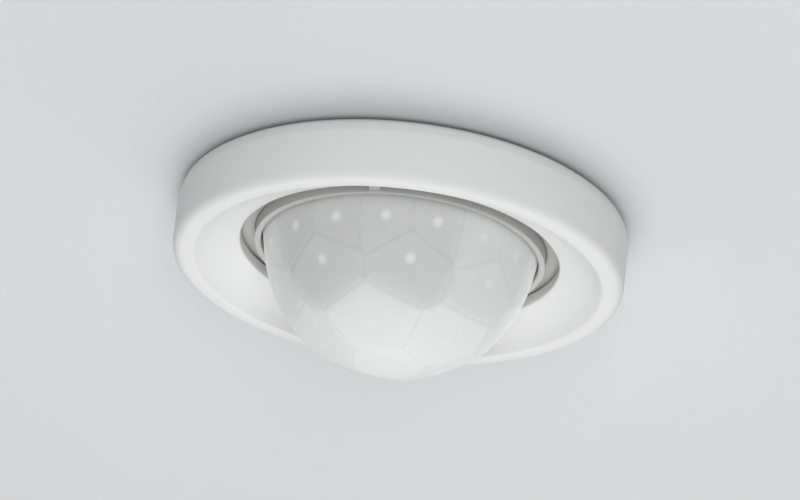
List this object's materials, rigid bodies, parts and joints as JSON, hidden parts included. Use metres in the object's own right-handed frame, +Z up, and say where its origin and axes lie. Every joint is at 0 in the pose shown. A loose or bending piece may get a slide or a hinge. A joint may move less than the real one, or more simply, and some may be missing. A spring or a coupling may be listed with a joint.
{
  "type": "motion sensor",
  "caption": "Miniature ceiling motion sensor: domed lens in a dished ring, and a threaded neck that a ring nut clamps through a panel.",
  "frame": {"origin": "middle of the mounting hole, on the underside of the panel that the sensor is clamped to", "axes": "+Z up, away from the lens, along the neck; the terminal block lies along X, on the -Y side"},
  "size_m": [0.046, 0.046, 0.0431],
  "materials": {
    "ring_plastic": "fine satin white",
    "lens_plastic": "milky translucent",
    "housing_plastic": "satin off-white",
    "cover_plastic": "fine spark texture, light grey",
    "nut_plastic": "satin dark grey",
    "washer_steel": "zinc plated",
    "gasket_rubber": "closed-cell foam",
    "seal_rubber": "smooth",
    "seal_silicone": "smooth",
    "board": "solder mask",
    "detector_metal": "gold-flashed nickel",
    "window_filter": "coated silicon",
    "ceramic": "fired",
    "chip_plastic": "moulded epoxy",
    "diode_clear": "clear epoxy",
    "relay_plastic": "moulded",
    "film_plastic": "moulded",
    "can_sleeve": "shrink sleeve",
    "disc_lacquer": "dipped lacquer",
    "pin_metal": "tinned",
    "ribbon_film": "polyimide film",
    "dial_plastic": "satin",
    "button_plastic": "satin",
    "terminal_plastic": "satin light grey",
    "screw_steel": "zinc plated"
  },
  "bodies": {
    "housing": {"sealing_gasket": "gasket_rubber", "lens_collar": "housing_plastic", "dome_lens": "lens_plastic", "lens_seal": "seal_rubber", "recess_seal": "seal_silicone", "housing": "housing_plastic", "detector_header": "detector_metal", "detector_leads": "pin_metal", "detector_can": "detector_metal", "detector_window": "window_filter", "pyro_element": "ceramic", "sensor_board": "board", "daylight_sensor": "diode_clear", "status_led": "diode_clear", "microcontroller": "chip_plastic", "header_bar": "chip_plastic", "header_pins": "pin_metal", "power_board": "board", "relay": "relay_plastic", "film_capacitor": "film_plastic", "storage_capacitor": "can_sleeve", "varistor": "disc_lacquer", "fuse": "ceramic", "bridge_rectifier": "chip_plastic", "control_board": "board", "ribbon_cable": "ribbon_film", "dial_bases": "chip_plastic", "test_switch": "chip_plastic", "terminal_block": "terminal_plastic", "terminal_contacts": "pin_metal", "rear_cover": "cover_plastic", "cover_screws": "screw_steel"},
    "cover_ring": {"cover_ring": "ring_plastic"},
    "clamp_washer": {"clamp_washer": "washer_steel"},
    "ring_nut": {"ring_nut": "nut_plastic"},
    "time_dial": {"time_dial": "dial_plastic"},
    "brightness_dial": {"brightness_dial": "dial_plastic"},
    "test_button": {"test_button": "button_plastic"},
    "release_button_1": {"release_button_1": "button_plastic"},
    "release_button_2": {"release_button_2": "button_plastic"},
    "release_button_3": {"release_button_3": "button_plastic"},
    "release_button_4": {"release_button_4": "button_plastic"}
  },
  "joints": [
    {"name": "cover_ring_pull", "type": "slide", "parent": "housing", "child": "cover_ring", "axis": [0, 0, -1], "range_m": [0, 0.02]},
    {"name": "nut_travel", "type": "slide", "parent": "housing", "child": "clamp_washer", "axis": [0, 0, 1], "range_m": [0, 0.007]},
    {"name": "nut_spin", "type": "hinge", "parent": "clamp_washer", "child": "ring_nut", "pos_m": [0, 0, 0.006], "axis": [0, 0, 1], "range_deg": [0, 1260]},
    {"name": "time_dial_turn", "type": "hinge", "parent": "housing", "child": "time_dial", "pos_m": [0.01776, 0.00646, 0], "axis": [0, 0, 1], "range_deg": [-135, 135]},
    {"name": "brightness_dial_turn", "type": "hinge", "parent": "housing", "child": "brightness_dial", "pos_m": [0.00584, 0.01798, 0], "axis": [0, 0, 1], "range_deg": [-135, 135]},
    {"name": "test_button_press", "type": "slide", "parent": "housing", "child": "test_button", "axis": [0, 0, 1], "range_m": [0, 0.00025], "stiffness_N_per_m": 600, "springref_m": -0.0005},
    {"name": "release_1_press", "type": "slide", "parent": "housing", "child": "release_button_1", "axis": [0, 0, -1], "range_m": [0, 0.001], "stiffness_N_per_m": 600, "springref_m": -0.0005},
    {"name": "release_2_press", "type": "slide", "parent": "housing", "child": "release_button_2", "axis": [0, 0, -1], "range_m": [0, 0.001], "stiffness_N_per_m": 600, "springref_m": -0.0005},
    {"name": "release_3_press", "type": "slide", "parent": "housing", "child": "release_button_3", "axis": [0, 0, -1], "range_m": [0, 0.001], "stiffness_N_per_m": 600, "springref_m": -0.0005},
    {"name": "release_4_press", "type": "slide", "parent": "housing", "child": "release_button_4", "axis": [0, 0, -1], "range_m": [0, 0.001], "stiffness_N_per_m": 600, "springref_m": -0.0005}
  ],
  "couplings": [
    {"joint": "nut_travel", "follows": "nut_spin", "m_per_rad": 0.0003183}
  ]
}
